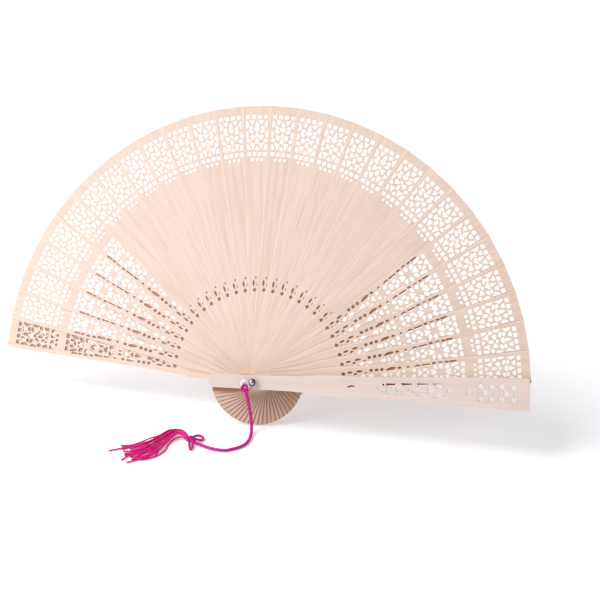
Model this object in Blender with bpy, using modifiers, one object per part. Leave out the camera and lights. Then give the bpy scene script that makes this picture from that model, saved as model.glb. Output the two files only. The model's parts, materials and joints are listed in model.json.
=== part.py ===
"""Folding hand fan: 28 thin wooden sticks between two guards on one rivet, with a cord and a tassel.

Metres, +Z up, +X to the right of someone who faces the fan from -Y. The origin is on the rivet's axis, in
the middle of the stack. The open fan leans back from the vertical by LEAN, its spread is the same on both
sides, and its lowest tail touches the surface that the cord and the tassel lie on.

Everything on the rivet is parented to one empty, whose local Z is the rivet's axis and points to the front,
whose local X is world X and whose local Y runs up the leaning fan. A blade turns about that local Z.
"""

import math

import bmesh
import bpy
from mathutils import Vector

MM = 0.001

# Pose of the open fan
LEAN = math.radians(22.0)
STICK_STEP = math.radians(6.156)
GUARD_STEP = math.radians(5.6)
REAR_STEP = math.radians(0.2)

# Sticks, stacked from number 1 at the back to number 28 at the front
STICK_COUNT = 28
STICK_REACH = 198.2 * MM
STICK_TAIL = 31.5 * MM
STICK_THICKNESS = 0.42 * MM
STICK_SHANK_WIDTH = 12.7 * MM
STICK_SHOULDER_WIDTH = 15.1 * MM
STICK_WAIST_WIDTH = 14.5 * MM
STICK_END_WIDTH = 22.7 * MM
STICK_TAIL_CORNER = 2.0 * MM
STICK_END_CORNER = 0.6 * MM

# Guards, the two thick outer blades
GUARD_REACH = 197.7 * MM
GUARD_TAIL = 33.0 * MM
GUARD_THICKNESS = 2.4 * MM
GUARD_TAIL_WIDTH = 9.7 * MM
GUARD_NECK_WIDTH = 10.5 * MM
GUARD_SHOULDER_WIDTH = 15.3 * MM
GUARD_WAIST_WIDTH = 14.8 * MM
GUARD_END_WIDTH = 23.2 * MM
GUARD_TAIL_CORNER = 3.0 * MM
GUARD_END_CORNER = 1.2 * MM

# Clearances
BLADE_GAP = 0.28 * MM
FIT = 0.3 * MM

# Rivet and its two heads
PIN_RADIUS = 1.2 * MM
HEAD_RADIUS = 2.7 * MM
HEAD_HEIGHT = 2.1 * MM
HEAD_RIM = 0.4 * MM
CAP_RADIUS = 2.5 * MM
CAP_THICKNESS = 1.0 * MM
PIN_END = 0.5 * MM

# Cord eyelet: a lug with one hole on the pin and a larger ring that stands off the guard
LUG_RADIUS = 2.6 * MM
LUG_THICKNESS = 0.8 * MM
LUG_TILT = math.radians(10.0)
EYE_ANGLE = math.radians(201.0)
EYE_OFFSET = 5.6 * MM
EYE_RADIUS = 3.5 * MM
EYE_HOLE_RADIUS = 1.4 * MM

# Hitch of the cord round the lower rim of the ring: half sizes across, along and out of the fan
KNOT_HALF_SIZES = (2.6 * MM, 2.7 * MM, 1.8 * MM)
KNOT_SIDE = 0.5 * MM
KNOT_DROP = 2.4 * MM

# Cord, bow and tassel, which lie in front of the fan
CORD_RADIUS = 1.25 * MM
CORD_POINTS = 44
BOW_THICKNESS = 3.2 * MM
TASSEL_THICKNESS = 4.6 * MM
SURFACE_GAP = 0.05 * MM

# The cord's centre line: down from the knot in front of the tails, forward on the surface, left to the bow
CORD_ROUTE_MM = (
    (-4.2, -15.7, -1.6),
    (-3.2, -15.9, -6.3),
    (-1.9, -16.5, -12.3),
    (-0.4, -17.9, -18.7),
    (0.9, -20.5, -23.6),
    (2.3, -25.0, -27.1),
    (3.5, -31.9, -28.4),
    (3.7, -38.1, -28.6),
    (2.8, -43.7, -28.6),
    (0.2, -48.3, -28.6),
    (-3.3, -51.9, -28.6),
    (-9.2, -55.7, -28.6),
    (-19.2, -55.2, -28.6),
    (-28.9, -51.4, -28.6),
    (-33.4, -48.8, -28.4),
)

# Plan of the bow: the knot at its left, one loop to the right and one pointed loop to the front
BOW_PLAN_MM = (
    (-39.6, -46.6),
    (-38.6, -49.6),
    (-36.6, -51.4),
    (-35.0, -56.0),
    (-32.6, -61.4),
    (-31.4, -61.8),
    (-31.2, -60.4),
    (-32.2, -55.0),
    (-33.6, -51.4),
    (-35.0, -50.0),
    (-35.3, -47.2),
    (-33.6, -46.4),
    (-30.8, -47.8),
    (-28.4, -47.4),
    (-27.2, -45.0),
    (-28.0, -42.0),
    (-30.6, -40.2),
    (-34.4, -40.4),
    (-37.2, -42.6),
    (-39.2, -44.6),
)

# Plan of the tassel: a narrow neck at the bow, an arch to the left and a spread of loose ends
TASSEL_PLAN_MM = (
    (-40.2, -44.2),
    (-43.4, -40.4),
    (-47.2, -38.2),
    (-52.2, -39.0),
    (-57.6, -43.2),
    (-60.6, -50.0),
    (-63.6, -57.2),
    (-70.0, -62.4),
    (-80.8, -65.6),
    (-83.2, -70.4),
    (-88.4, -75.4),
    (-86.6, -80.2),
    (-76.0, -78.8),
    (-75.4, -86.8),
    (-69.6, -89.8),
    (-60.0, -83.0),
    (-52.6, -76.4),
    (-49.2, -68.8),
    (-50.2, -58.6),
    (-49.2, -51.8),
    (-45.4, -47.4),
    (-42.4, -48.6),
    (-40.4, -49.0),
    (-40.2, -46.8),
)

HOLE_POINTS = 12
TURN_STEPS = 24

LAYER = STICK_THICKNESS + BLADE_GAP
STICK_FACE = (STICK_COUNT - 1) / 2 * LAYER + STICK_THICKNESS / 2
GUARD_DEPTH = STICK_FACE + BLADE_GAP + GUARD_THICKNESS / 2
GUARD_FACE = GUARD_DEPTH + GUARD_THICKNESS / 2
HOLE_RADIUS = PIN_RADIUS + FIT
SPREAD = (STICK_COUNT - 1) * STICK_STEP + GUARD_STEP + REAR_STEP
FRONT_ANGLE = (math.pi - SPREAD) / 2

LUG_DEPTH = GUARD_FACE + FIT + LUG_RADIUS * math.sin(LUG_TILT) + LUG_THICKNESS / 2
HEAD_BASE = LUG_DEPTH + LUG_THICKNESS / 2 + HEAD_RADIUS * math.tan(LUG_TILT) + FIT
CAP_FACE = -GUARD_FACE - FIT

# A station is its share of the way from the pivot to the end, and the blade's width there.
STICK_STATIONS = (
    (0.19, STICK_SHANK_WIDTH),
    (0.235, (STICK_SHANK_WIDTH + STICK_SHOULDER_WIDTH) / 2),
    (0.29, STICK_SHOULDER_WIDTH),
    (0.37, STICK_WAIST_WIDTH),
    (0.525, STICK_WAIST_WIDTH + 0.15 * (STICK_END_WIDTH - STICK_WAIST_WIDTH)),
    (0.75, STICK_WAIST_WIDTH + 0.51 * (STICK_END_WIDTH - STICK_WAIST_WIDTH)),
    (0.83, STICK_WAIST_WIDTH + 0.66 * (STICK_END_WIDTH - STICK_WAIST_WIDTH)),
)
GUARD_STATIONS = (
    (0.0, (GUARD_TAIL_WIDTH + GUARD_NECK_WIDTH) / 2),
    (0.10, GUARD_NECK_WIDTH),
    (0.175, GUARD_NECK_WIDTH + 0.2 * (GUARD_SHOULDER_WIDTH - GUARD_NECK_WIDTH)),
    (0.25, GUARD_NECK_WIDTH + 0.88 * (GUARD_SHOULDER_WIDTH - GUARD_NECK_WIDTH)),
    (0.276, GUARD_SHOULDER_WIDTH),
    (0.326, GUARD_WAIST_WIDTH),
    (0.45, GUARD_WAIST_WIDTH),
    (0.60, GUARD_WAIST_WIDTH + 0.33 * (GUARD_END_WIDTH - GUARD_WAIST_WIDTH)),
    (0.75, GUARD_WAIST_WIDTH + 0.63 * (GUARD_END_WIDTH - GUARD_WAIST_WIDTH)),
)


def stick_angle(number):
    """Angle of a stick from +X about the rivet's axis, in the open fan."""
    return FRONT_ANGLE + GUARD_STEP + (STICK_COUNT - number) * STICK_STEP


def stick_depth(number):
    """Distance of a stick's middle in front of the origin, along the rivet's axis."""
    return (number - (STICK_COUNT + 1) / 2) * LAYER


def stick_low(number):
    """Height of the lowest point of a stick's tail, which has rounded corners."""
    turn = stick_angle(number) - math.pi / 2
    along = (STICK_TAIL - STICK_TAIL_CORNER) * math.cos(turn)
    across = (STICK_SHANK_WIDTH / 2 - STICK_TAIL_CORNER) * abs(math.sin(turn))
    reach = along + across + STICK_TAIL_CORNER
    return (stick_depth(number) - STICK_THICKNESS / 2) * math.sin(LEAN) - reach * math.cos(LEAN)


def remove_startup_objects():
    for item in list(bpy.data.objects):
        bpy.data.objects.remove(item, do_unlink=True)


def make_collection(name):
    made = bpy.data.collections.new(name)
    bpy.context.scene.collection.children.link(made)
    return made


def make_material(name, colour, roughness, metallic=0.0):
    made = bpy.data.materials.new(name)
    made.use_nodes = True
    shader = made.node_tree.nodes["Principled BSDF"]
    shader.inputs["Base Color"].default_value = (*colour, 1.0)
    shader.inputs["Roughness"].default_value = roughness
    shader.inputs["Metallic"].default_value = metallic
    return made


def place(name, data, collection, material, parent=None, depth=0.0):
    """Links an object, at the given distance along the rivet's axis where it has the rivet as its parent."""
    made = bpy.data.objects.new(name, data)
    if not data.materials:
        data.materials.append(material)
    collection.objects.link(made)
    made.parent = parent
    made.location = (0.0, 0.0, depth)
    return made


def arc(centre, radius, start, end, steps):
    """Points of an arc between two angles in degrees, both ends included."""
    angles = [math.radians(start + (end - start) * step / steps) for step in range(steps + 1)]
    return [(centre[0] + radius * math.cos(a), centre[1] + radius * math.sin(a)) for a in angles]


def circle(centre, radius):
    return arc(centre, radius, 0.0, 360.0, HOLE_POINTS)[:-1]


def flat_shape(name, thickness, loops):
    """A flat plate as a 2D curve: the first loop is its outline and the others are holes."""
    made = bpy.data.curves.new(name, "CURVE")
    made.dimensions = "2D"
    made.fill_mode = "BOTH"
    made.extrude = thickness / 2
    made.render_resolution_u = 0
    for loop in loops:
        spline = made.splines.new("POLY")
        spline.points.add(len(loop) - 1)
        for point, (x, y) in zip(spline.points, loop):
            point.co = (x, y, 0.0, 1.0)
        spline.use_cyclic_u = True
    return made


def blade_outline(reach, tail, tail_width, end_width, tail_corner, end_corner, stations):
    """A blade along +X with the pivot at the origin: one side from tail to end, then its mirror image."""
    tail_centre = (tail_corner - tail, tail_width / 2 - tail_corner)
    end_centre = (reach - end_corner, end_width / 2 - end_corner)
    side = arc(tail_centre, tail_corner, 180.0, 90.0, 3)
    side += [(share * reach, width / 2) for share, width in stations]
    side += arc(end_centre, end_corner, 90.0, 0.0, 2)
    return side + [(x, -y) for x, y in reversed(side)]


def turned(name, profile, collection, material, parent):
    """A round piece about the rivet's axis, from (radius, height) points that run from top to bottom."""
    mesh = bpy.data.meshes.new(name)
    build = bmesh.new()
    points = [build.verts.new((radius, 0.0, height)) for radius, height in profile]
    for first, second in zip(points, points[1:]):
        build.edges.new((first, second))
    build.to_mesh(mesh)
    build.free()
    made = place(name, mesh, collection, material, parent)
    screw = made.modifiers.new("Screw", "SCREW")
    screw.steps = TURN_STEPS
    screw.render_steps = TURN_STEPS
    screw.use_merge_vertices = True
    screw.merge_threshold = 0.00001
    screw.use_smooth_shade = True
    return made


def make_sticks(collection, material, rivet_axis):
    outline = blade_outline(
        STICK_REACH,
        STICK_TAIL,
        STICK_SHANK_WIDTH,
        STICK_END_WIDTH,
        STICK_TAIL_CORNER,
        STICK_END_CORNER,
        STICK_STATIONS,
    )
    shape = flat_shape("stick_shape", STICK_THICKNESS, [outline, circle((0.0, 0.0), HOLE_RADIUS)])
    for number in range(1, STICK_COUNT + 1):
        name = f"stick_{number:02d}"
        stick = place(name, shape, collection, material, rivet_axis, stick_depth(number))
        stick.rotation_euler.z = stick_angle(number)


def make_guards(collection, material, rivet_axis):
    outline = blade_outline(
        GUARD_REACH,
        GUARD_TAIL,
        GUARD_TAIL_WIDTH,
        GUARD_END_WIDTH,
        GUARD_TAIL_CORNER,
        GUARD_END_CORNER,
        GUARD_STATIONS,
    )
    shape = flat_shape("guard_shape", GUARD_THICKNESS, [outline, circle((0.0, 0.0), HOLE_RADIUS)])
    front = place("front_guard", shape, collection, material, rivet_axis, GUARD_DEPTH)
    front.rotation_euler.z = FRONT_ANGLE
    rear = place("rear_guard", shape, collection, material, rivet_axis, -GUARD_DEPTH)
    rear.rotation_euler.z = FRONT_ANGLE + SPREAD


def make_rivet(collection, material, rivet_axis):
    """The pin with its domed head in front, and the cap that closes it behind."""
    pin_end = CAP_FACE - CAP_THICKNESS - PIN_END
    crown = HEAD_BASE + HEAD_RIM
    dome = [
        (HEAD_RADIUS * math.sin(a), crown + (HEAD_HEIGHT - HEAD_RIM) * math.cos(a))
        for a in (math.radians(15.0 * step) for step in range(7))
    ]
    foot = [(HEAD_RADIUS, HEAD_BASE), (PIN_RADIUS, HEAD_BASE), (PIN_RADIUS, pin_end), (0.0, pin_end)]
    turned("rivet", dome + foot, collection, material, rivet_axis)
    back = CAP_FACE - CAP_THICKNESS
    bevel = CAP_THICKNESS / 2
    cap = [
        (HOLE_RADIUS, CAP_FACE),
        (CAP_RADIUS, CAP_FACE),
        (CAP_RADIUS, CAP_FACE - bevel),
        (CAP_RADIUS - bevel, back),
        (HOLE_RADIUS, back),
        (HOLE_RADIUS, CAP_FACE),
    ]
    turned("rivet_cap", cap, collection, material, rivet_axis)


def lug_outline(clearance):
    """The two round ends of the eyelet, larger by a clearance, joined by straight lines."""
    pin_radius = LUG_RADIUS + clearance
    eye_radius = EYE_RADIUS + clearance
    lean = math.degrees(math.asin((eye_radius - pin_radius) / EYE_OFFSET))
    eye_end = arc((EYE_OFFSET, 0.0), eye_radius, -90.0 - lean, 90.0 + lean, 16)
    pin_end = arc((0.0, 0.0), pin_radius, 90.0 + lean, 270.0 - lean, 10)
    return eye_end + pin_end


def place_on_lug(item):
    """Puts a flat shape in the eyelet's plane, which tilts off the guard towards the ring."""
    item.location = (0.0, 0.0, LUG_DEPTH)
    item.rotation_euler = (0.0, -LUG_TILT, EYE_ANGLE)


def make_eyelet(collection, material, rivet_axis):
    holes = [circle((0.0, 0.0), HOLE_RADIUS), circle((EYE_OFFSET, 0.0), EYE_HOLE_RADIUS)]
    shape = flat_shape("eyelet_shape", LUG_THICKNESS, [lug_outline(0.0), *holes])
    place_on_lug(place("cord_eyelet", shape, collection, material, rivet_axis))


def mesh_of(item):
    """Turns a curve object into a mesh object with welded caps, and removes the curve."""
    bpy.context.view_layer.update()
    graph = bpy.context.evaluated_depsgraph_get()
    mesh = bpy.data.meshes.new_from_object(item.evaluated_get(graph))
    build = bmesh.new()
    build.from_mesh(mesh)
    bmesh.ops.remove_doubles(build, verts=build.verts, dist=0.00001)
    build.to_mesh(mesh)
    build.free()
    made = bpy.data.objects.new(item.name + "_mesh", mesh)
    made.matrix_world = item.matrix_world
    item.users_collection[0].objects.link(made)
    bpy.data.objects.remove(item, do_unlink=True)
    return made


def make_knot(collection, cutters, material, rivet_axis):
    """The hitch: a soft lump with a slot for the ring's rim, so that it passes through the eye and round it."""
    slot = [lug_outline(FIT), circle((EYE_OFFSET, 0.0), EYE_HOLE_RADIUS - FIT)]
    shape = flat_shape("eyelet_slot_shape", LUG_THICKNESS + 2 * FIT, slot)
    cutter = place("eyelet_slot", shape, cutters, material, rivet_axis)
    place_on_lug(cutter)
    cutter = mesh_of(cutter)
    cutter.hide_render = True
    cutter.display_type = "WIRE"

    mesh = bpy.data.meshes.new("cord_knot")
    build = bmesh.new()
    bmesh.ops.create_uvsphere(build, u_segments=20, v_segments=12, radius=1.0)
    bmesh.ops.scale(build, verts=build.verts, vec=KNOT_HALF_SIZES)
    build.to_mesh(mesh)
    build.free()
    mesh.shade_smooth()
    knot = place("cord_knot", mesh, collection, material, rivet_axis)
    flat_offset = EYE_OFFSET * math.cos(LUG_TILT)
    eye = Vector((flat_offset * math.cos(EYE_ANGLE), flat_offset * math.sin(EYE_ANGLE), LUG_DEPTH))
    eye.z += EYE_OFFSET * math.sin(LUG_TILT)
    knot.location = eye + Vector((KNOT_SIDE, -KNOT_DROP, 0.0))
    cut = knot.modifiers.new("Slot for the ring", "BOOLEAN")
    cut.operation = "DIFFERENCE"
    cut.solver = "EXACT"
    cut.object = cutter


def smooth_route(points, count):
    """Evenly spaced points on a Catmull-Rom curve through the given points."""
    ends = [2 * points[0] - points[1], *points, 2 * points[-1] - points[-2]]
    fine = []
    for before, start, end, after in zip(ends, ends[1:], ends[2:], ends[3:]):
        for step in range(12):
            t = step / 12
            bend = (2 * before - 5 * start + 4 * end - after) * t * t
            twist = (3 * start - before - 3 * end + after) * t**3
            fine.append((2 * start + (end - before) * t + bend + twist) / 2)
    fine.append(points[-1])
    lengths = [0.0]
    for start, end in zip(fine, fine[1:]):
        lengths.append(lengths[-1] + (end - start).length)
    route = []
    place_in_list = 0
    for step in range(count):
        wanted = lengths[-1] * step / (count - 1)
        while place_in_list < len(fine) - 2 and lengths[place_in_list + 1] < wanted:
            place_in_list += 1
        span = lengths[place_in_list + 1] - lengths[place_in_list]
        share = (wanted - lengths[place_in_list]) / span
        route.append(fine[place_in_list].lerp(fine[place_in_list + 1], share))
    return route


def make_cord(collection, material):
    shape = bpy.data.curves.new("cord", "CURVE")
    shape.dimensions = "3D"
    shape.bevel_depth = CORD_RADIUS
    shape.bevel_resolution = 2
    shape.use_fill_caps = True
    shape.render_resolution_u = 0
    route = smooth_route([Vector(point) * MM for point in CORD_ROUTE_MM], CORD_POINTS)
    spline = shape.splines.new("POLY")
    spline.points.add(len(route) - 1)
    for point, co in zip(spline.points, route):
        point.co = (*co, 1.0)
    place("cord", shape, collection, material)


def make_lying_plate(name, plan, thickness, surface, collection, material):
    """A flat soft piece that lies on the surface, from its plan in world millimetres."""
    shape = flat_shape(name, thickness, [[(x * MM, y * MM) for x, y in plan]])
    place(name, shape, collection, material, depth=surface + SURFACE_GAP + thickness / 2)


def main():
    remove_startup_objects()
    fan = make_collection("hand_fan")
    cutters = make_collection("cutters")
    wood = make_material("stick_wood", (0.86, 0.68, 0.54), 0.55)
    guard_wood = make_material("guard_wood", (0.82, 0.66, 0.54), 0.5)
    chrome = make_material("rivet_chrome", (0.8, 0.8, 0.82), 0.12, 1.0)
    silver = make_material("eyelet_metal", (0.9, 0.9, 0.9), 0.2, 1.0)
    cord = make_material("cord_fabric", (0.55, 0.0, 0.18), 0.6)

    rivet_axis = bpy.data.objects.new("rivet_axis", None)
    fan.objects.link(rivet_axis)
    rivet_axis.rotation_euler.x = math.pi / 2 - LEAN

    make_guards(fan, guard_wood, rivet_axis)
    make_sticks(fan, wood, rivet_axis)
    make_rivet(fan, chrome, rivet_axis)
    make_eyelet(fan, silver, rivet_axis)
    make_knot(fan, cutters, cord, rivet_axis)
    make_cord(fan, cord)
    surface = min(stick_low(number) for number in range(1, STICK_COUNT + 1))
    make_lying_plate("tassel_bow", BOW_PLAN_MM, BOW_THICKNESS, surface, fan, cord)
    make_lying_plate("tassel", TASSEL_PLAN_MM, TASSEL_THICKNESS, surface, fan, cord)


main()
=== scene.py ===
# %% [markdown]
# # A folding fan of pierced wooden blades
#
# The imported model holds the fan's design: where each blade turns, how thick it is and where the cord lies.
# This script dresses it. It cuts the fretwork into the blades, ties the cord, spreads the tassel and gives
# every surface its finish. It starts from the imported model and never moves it.

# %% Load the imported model
import json
import math

import bmesh
import bpy
import numpy as np
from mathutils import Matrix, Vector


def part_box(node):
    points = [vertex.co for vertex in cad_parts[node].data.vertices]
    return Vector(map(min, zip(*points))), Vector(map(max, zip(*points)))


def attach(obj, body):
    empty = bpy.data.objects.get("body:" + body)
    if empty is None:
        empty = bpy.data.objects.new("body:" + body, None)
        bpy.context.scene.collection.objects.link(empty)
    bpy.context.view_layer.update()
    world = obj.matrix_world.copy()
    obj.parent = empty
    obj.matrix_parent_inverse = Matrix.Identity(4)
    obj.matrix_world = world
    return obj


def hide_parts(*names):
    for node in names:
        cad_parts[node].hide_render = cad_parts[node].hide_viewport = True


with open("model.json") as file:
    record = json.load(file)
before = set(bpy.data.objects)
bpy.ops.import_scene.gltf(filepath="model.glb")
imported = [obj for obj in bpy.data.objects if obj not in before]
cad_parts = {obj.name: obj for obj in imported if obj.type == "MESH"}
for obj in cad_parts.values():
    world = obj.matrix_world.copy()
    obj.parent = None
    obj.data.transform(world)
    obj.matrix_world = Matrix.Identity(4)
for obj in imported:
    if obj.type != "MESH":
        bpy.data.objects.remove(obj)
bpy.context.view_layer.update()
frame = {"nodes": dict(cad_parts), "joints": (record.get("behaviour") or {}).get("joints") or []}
bpy.context.scene.view_settings.view_transform = "Standard"
MM = 0.001

# %% [markdown]
# ## The camera
#
# A long lens far from the fan keeps the half circle of blades nearly true, with the far end only a little
# smaller than the near one. The camera stands a little to the right and looks down on the leaning fan.

# %% Camera
def in_scene(name, data):
    """An object that shows the data, linked into the scene at the origin."""
    made = bpy.data.objects.new(name, data)
    bpy.context.scene.collection.objects.link(made)
    return made


AZIMUTH = math.radians(14.7)
ELEVATION = math.radians(24.26)
DISTANCE = 1.2876
AIM = np.array([0.0317, 0.0, 0.0678])
LENS_MM = 109.8

camera_data = bpy.data.cameras.new("camera")
camera_data.lens = LENS_MM
camera_data.sensor_width = 36.0
camera = in_scene("camera", camera_data)
toward = np.array([
    math.sin(AZIMUTH) * math.cos(ELEVATION),
    -math.cos(AZIMUTH) * math.cos(ELEVATION),
    math.sin(ELEVATION),
])
camera.location = AIM + DISTANCE * toward
camera.rotation_euler = (math.pi / 2 - ELEVATION, 0.0, AZIMUTH)
bpy.context.scene.camera = camera
print("camera at", [round(value, 3) for value in camera.location])

# %% [markdown]
# ## Paths and tubes
#
# Cord, bow and tassel are all round sections carried along a path. One helper reads a smooth path through a
# few chosen points, and another lays rings of points round it. The rings' radius can vary with the angle and
# with the length, and that is what makes a plaited cord out of a plain tube.

# %% A smooth path through chosen points
def smooth_path(points_mm, count):
    """Catmull-Rom curve through the points, read at even lengths and given in metres.

    Each stretch is the cubic of its four nearest points, with the first and last points mirrored outwards.
    """
    p = np.asarray(points_mm, float) * MM
    p = np.vstack([2 * p[0] - p[1], p, 2 * p[-1] - p[-2]])
    a, b, c, d = (p[i:len(p) - 3 + i, None, :] for i in range(4))
    t = np.linspace(0.0, 1.0, 24, endpoint=False)[None, :, None]
    cubic = 2 * b + (c - a) * t + (2 * a - 5 * b + 4 * c - d) * t**2 + (3 * b - a - 3 * c + d) * t**3
    fine = np.vstack([cubic.reshape(-1, 3) / 2, p[-2]])
    length = np.concatenate([[0.0], np.cumsum(np.linalg.norm(np.diff(fine, axis=0), axis=1))])
    wanted = np.linspace(0.0, length[-1], count)
    return np.column_stack([np.interp(wanted, length, fine[:, axis]) for axis in range(3)])


def path_length(path):
    return float(np.linalg.norm(np.diff(path, axis=0), axis=1).sum())


def directions_along(path):
    """Two directions square to the path at each point, carried along from the point before."""
    tangent = np.gradient(path, axis=0)
    tangent /= np.linalg.norm(tangent, axis=1, keepdims=True)
    side = np.empty_like(path)
    first = np.cross(tangent[0], (0.31, 0.17, 0.93))
    side[0] = first / np.linalg.norm(first)
    for place in range(1, len(path)):
        carried = side[place - 1] - tangent[place] * (side[place - 1] @ tangent[place])
        side[place] = carried / np.linalg.norm(carried)
    return side, np.cross(tangent, side)


quarter_turn = smooth_path([(10, 0, 0), (7.07, 7.07, 0), (0, 10, 0)], 40)
print("a quarter turn of radius 10 mm measures", round(path_length(quarter_turn) / MM, 1))

# %% [markdown]
# ### Rings round the path
#
# A tube needs two directions square to its path at each point. They are carried along from point to point,
# so the rings turn as little as possible and the ridges of the cord don't jump. A plait and a twist are
# waves in the rings' radius, which is cheaper than modelling every thread and still catches the light.

# %% A tube along a path
def tube_points(path, radius, around, swell=None):
    """Rings of points: path + r (side cos a + up sin a), with r = radius times swell(a, distance along).

    The radius may be one number or one for each path point.
    """
    side, up = directions_along(path)
    angle = np.linspace(0.0, 2 * math.pi, around, endpoint=False)[None, :]
    along = np.concatenate([[0.0], np.cumsum(np.linalg.norm(np.diff(path, axis=0), axis=1))])[:, None]
    r = np.broadcast_to(np.asarray(radius, float).reshape(-1, 1), (len(path), 1)) * np.ones_like(angle)
    if swell is not None:
        r = r * swell(angle, along)
    ring = np.cos(angle)[..., None] * side[:, None] + np.sin(angle)[..., None] * up[:, None]
    return path[:, None] + r[..., None] * ring, along


def plaited(strands, pitch, depth):
    """Two crossed sets of ridges, a braid's diamonds: 1 - depth (1 - cos(n a - k s) cos(n a + k s)) / 2."""
    def swell(angle, along):
        wave = 2 * math.pi * along / pitch
        return 1 - depth * (1 - np.cos(strands * angle - wave) * np.cos(strands * angle + wave)) / 2
    return swell


def twisted(plies, pitch, depth):
    """One set of ridges that winds round, a yarn's plies: 1 - depth (1 - |cos(n (a - k s) / 2)|)."""
    def swell(angle, along):
        return 1 - depth * (1 - np.abs(np.cos(plies * (angle - 2 * math.pi * along / pitch) / 2)))
    return swell


def tube_object(name, tubes):
    """One mesh of closed tubes, each from its rings, with a UV map of turns round and metres along."""
    points, faces, uvs, start = [], [], [], 0
    for rings, along in tubes:
        rows, around, _ = rings.shape
        points.append(rings.reshape(-1, 3))
        row, column = np.meshgrid(np.arange(rows - 1), np.arange(around), indexing="ij")
        after = (column + 1) % around
        quad = np.stack([row * around + column, row * around + after,
                         (row + 1) * around + after, (row + 1) * around + column], axis=-1)
        faces += (start + quad.reshape(-1, 4)).tolist()
        v = along[:, 0]
        corners = np.stack([
            np.stack([column / around, v[row]], -1), np.stack([(column + 1) / around, v[row]], -1),
            np.stack([(column + 1) / around, v[row + 1]], -1), np.stack([column / around, v[row + 1]], -1),
        ], axis=2)
        uvs.append(corners.reshape(-1, 2))
        first = start + np.arange(around)
        last = start + (rows - 1) * around + np.arange(around)
        faces += [first[::-1].tolist(), last.tolist()]
        uvs += [np.tile([[0.5, v[0]]], (around, 1)), np.tile([[0.5, v[-1]]], (around, 1))]
        start += rows * around
    mesh = bpy.data.meshes.new(name)
    mesh.from_pydata(np.vstack(points).tolist(), [], faces)
    layer = mesh.uv_layers.new(name="UVMap")
    layer.data.foreach_set("uv", np.vstack(uvs).astype(np.float32).ravel())
    mesh.shade_smooth()
    return in_scene(name, mesh)


print("rings by points round:", tube_points(quarter_turn, 1.0 * MM, 12)[0].shape[:2])

# %% [markdown]
# ## The cord
#
# A soft plaited cord hangs from the eyelet in front of the tails, turns forward where it meets the table and
# runs in a loose curve to the tassel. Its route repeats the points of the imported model, so its length is the
# model's own. The plait is real geometry: two sets of ridges cross on the tube.

# %% Cord
CORD_RADIUS = 1.25 * MM
CORD_PITCH = 3.4 * MM
CORD_ROUTE_MM = (
    (-4.2, -15.7, -1.6), (-3.2, -15.9, -6.3), (-1.9, -16.5, -12.3), (-0.4, -17.9, -18.7),
    (0.9, -20.5, -23.6), (2.3, -25.0, -27.1), (3.5, -31.9, -28.4), (3.7, -38.1, -28.6),
    (2.8, -43.7, -28.6), (0.2, -48.3, -28.6), (-3.3, -51.9, -28.6), (-9.2, -55.7, -28.6),
    (-19.2, -55.2, -28.6), (-28.9, -51.4, -28.6), (-33.4, -48.8, -28.4),
)
INTO_THE_TIE_MM = ((-35.6, -47.6, -27.9), (-37.6, -46.9, -27.4))
cord_path = smooth_path(CORD_ROUTE_MM + INTO_THE_TIE_MM, 480)
cord = tube_object("cord_plait", [tube_points(cord_path, CORD_RADIUS, 32, plaited(4, CORD_PITCH, 0.18))])
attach(cord, "front_guard")
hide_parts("cord")

# %% [markdown]
# ## Where each blade stands
#
# Every blade is symmetric about its own middle line, so the mean of its far points lies on that line. Seen
# along the rivet's axis this gives the blade's angle, and its distance along the axis gives its layer. Both
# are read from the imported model, and no number has to be repeated here.

# %% The rivet's axis and each blade's angle and layer
AXIS = np.array(frame["joints"][0]["axis"], float)
AXIS /= np.linalg.norm(AXIS)
RIGHT = np.array([1.0, 0.0, 0.0])
UP_THE_FAN = np.cross(AXIS, RIGHT)


def node_points(node):
    mesh = frame["nodes"][node].data
    co = np.empty(len(mesh.vertices) * 3, np.float32)
    mesh.vertices.foreach_get("co", co)
    return np.unique(co.reshape(-1, 3).astype(float).round(6), axis=0)


def blade_place(node):
    """A packed blade's angle from +X about the axis, its middle layer, its thickness and its reach."""
    points = node_points(node)
    depth = points @ AXIS
    x, y = points @ RIGHT, points @ UP_THE_FAN
    far = np.hypot(x, y) > 0.9 * np.hypot(x, y).max()
    angle = math.atan2(y[far].mean(), x[far].mean())
    reach = (x * math.cos(angle) + y * math.sin(angle)).max()
    return angle, (depth.max() + depth.min()) / 2, depth.max() - depth.min(), reach


def to_fan(local, angle, depth):
    """Turns points on a blade along +X into the fan: rotated about the axis and moved to its layer."""
    x = local[:, 0] * math.cos(angle) - local[:, 1] * math.sin(angle)
    y = local[:, 0] * math.sin(angle) + local[:, 1] * math.cos(angle)
    z = local[:, 2] + depth
    return x[:, None] * RIGHT + y[:, None] * UP_THE_FAN + z[:, None] * AXIS


STICKS = sorted(node for node in frame["nodes"] if node.startswith("stick_"))
print("sticks", len(STICKS), "first", [round(float(v), 4) for v in blade_place(STICKS[0])])

# %% [markdown]
# ## Shapes that a fretsaw cuts
#
# The fretwork is built from a few shapes: squares, dots, leaves, hearts, drops and small cut corners. Each
# is a closed outline from a formula, across the blade in x and along it in r, in millimetres from the pivot.

# %% Cut shapes
def turned_about(points, x, r, degrees):
    """Turns an outline drawn about the origin and moves it to (x, r)."""
    c, s = math.cos(math.radians(degrees)), math.sin(math.radians(degrees))
    across, along = points.T
    return np.column_stack([across * c - along * s + x, across * s + along * c + r])


def slot_cut(x, r, width, height, turn=0.0):
    """A four-cornered cut."""
    corners = np.array([(-1, -1), (1, -1), (1, 1), (-1, 1)]) * (width / 2, height / 2)
    return turned_about(corners, x, r, turn)


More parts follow.
